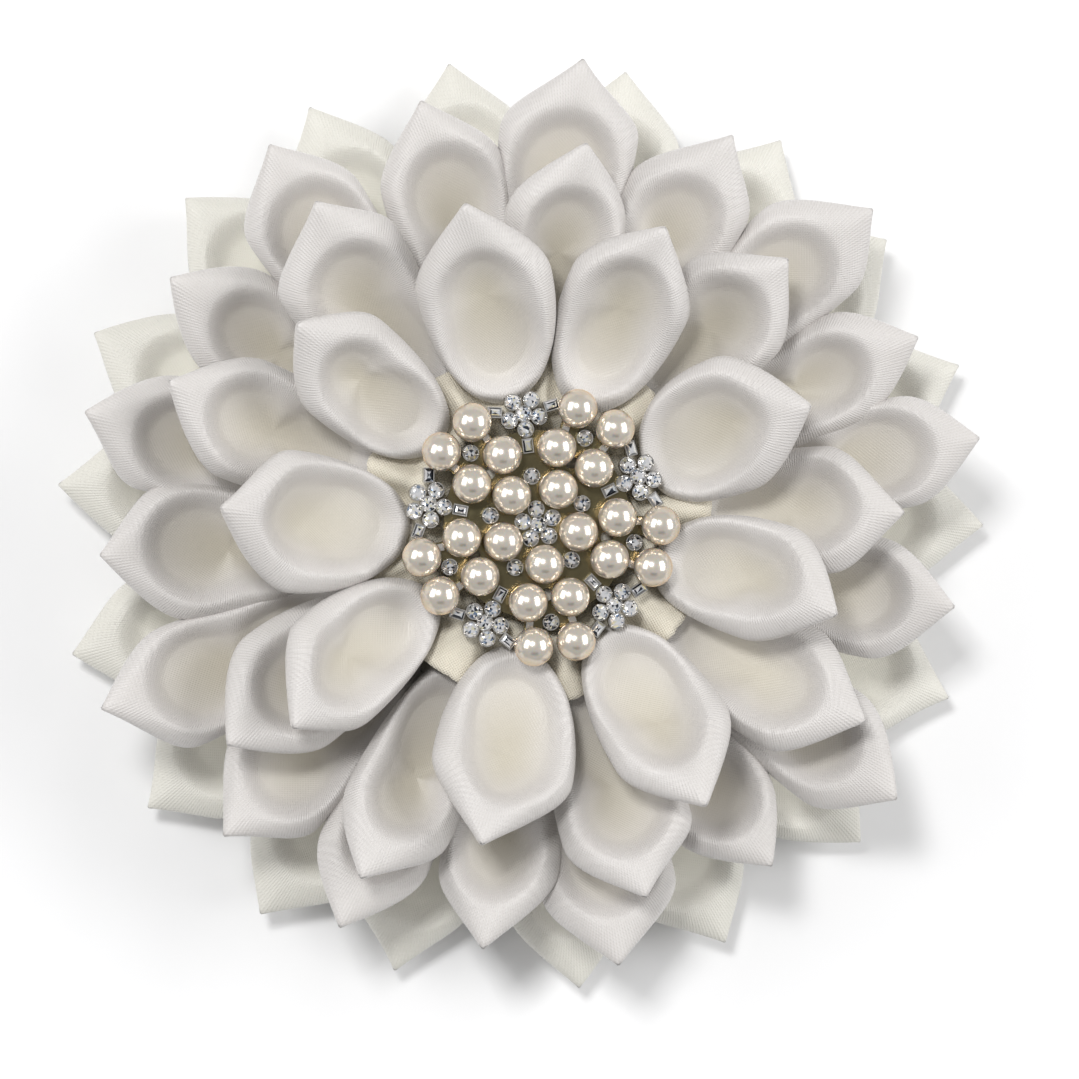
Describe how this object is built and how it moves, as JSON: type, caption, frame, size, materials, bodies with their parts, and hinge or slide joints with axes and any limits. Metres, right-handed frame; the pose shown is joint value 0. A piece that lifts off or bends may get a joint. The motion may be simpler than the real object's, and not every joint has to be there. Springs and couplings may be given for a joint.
{
  "type": "flower hair clip",
  "caption": "Layered folded-ribbon flower with a pearl and crystal cluster jewel in its middle, on a sprung single-prong hair clip.",
  "frame": {"origin": "under the middle of the flower, level with the underside of its lowest petals, with the flower lying face up", "axes": "+Z out of the flower's face, X along the hair clip with its jaw towards -X, Y across the clip"},
  "size_m": [0.1228, 0.1224, 0.036],
  "materials": {
    "petal_satin": "warm white satin ribbon with a fine cross rib",
    "outer_satin": "pale cream satin ribbon with a fine cross rib",
    "felt": "pressed ivory felt",
    "mesh_fabric": "beige open-weave stiffened mesh",
    "jewel_metal": "pale gold-tone plated casting",
    "pearl": "champagne pearl lacquer",
    "crystal": "foil-backed cut glass",
    "clip_steel": "nickel-plated stamped steel",
    "spring_steel": "drawn spring wire"
  },
  "bodies": {
    "flower": {"back_felt": "felt", "baguettes": "crystal", "clip_base": "clip_steel", "clip_patch": "felt", "hinge_pin": "clip_steel", "jewel_base": "jewel_metal", "jewel_pad": "felt", "mesh_disc": "mesh_fabric", "pearls": "pearl", "petal_row1_01": "petal_satin", "petal_row1_02": "petal_satin", "petal_row1_03": "petal_satin", "petal_row1_04": "petal_satin", "petal_row1_05": "petal_satin", "petal_row1_06": "petal_satin", "petal_row1_07": "petal_satin", "petal_row1_08": "petal_satin", "petal_row1_09": "petal_satin", "petal_row2_01": "petal_satin", "petal_row2_02": "petal_satin", "petal_row2_03": "petal_satin", "petal_row2_04": "petal_satin", "petal_row2_05": "petal_satin", "petal_row2_06": "petal_satin", "petal_row2_07": "petal_satin", "petal_row2_08": "petal_satin", "petal_row2_09": "petal_satin", "petal_row3_01": "petal_satin", "petal_row3_02": "petal_satin", "petal_row3_03": "petal_satin", "petal_row3_04": "petal_satin", "petal_row3_05": "petal_satin", "petal_row3_06": "petal_satin", "petal_row3_07": "petal_satin", "petal_row3_08": "petal_satin", "petal_row3_09": "petal_satin", "petal_row3_10": "petal_satin", "petal_row3_11": "petal_satin", "petal_row3_12": "petal_satin", "petal_row3_13": "petal_satin", "petal_row3_14": "petal_satin", "petal_row3_15": "petal_satin", "petal_row3_16": "petal_satin", "petal_row3_17": "petal_satin", "petal_row3_18": "petal_satin", "petal_row4_pair_01": "outer_satin", "petal_row4_pair_02": "outer_satin", "petal_row4_pair_03": "outer_satin", "petal_row4_pair_04": "outer_satin", "petal_row4_pair_05": "outer_satin", "petal_row4_pair_06": "outer_satin", "petal_row4_pair_07": "outer_satin", "petal_row4_pair_08": "outer_satin", "petal_row4_pair_09": "outer_satin", "round_stones": "crystal", "row2_felt_disc": "felt", "row3_felt_disc": "felt", "torsion_spring": "spring_steel"},
    "lever": {"clip_lever": "clip_steel"}
  },
  "joints": [
    {"name": "jaw_hinge", "type": "hinge", "parent": "flower", "child": "lever", "pos_m": [0.004, 0, 0.006], "axis": [0, -1, 0], "range_deg": [0, 22], "stiffness_Nm_per_rad": 0.05, "springref_deg": -68.75, "deforming": ["torsion_spring"]}
  ]
}
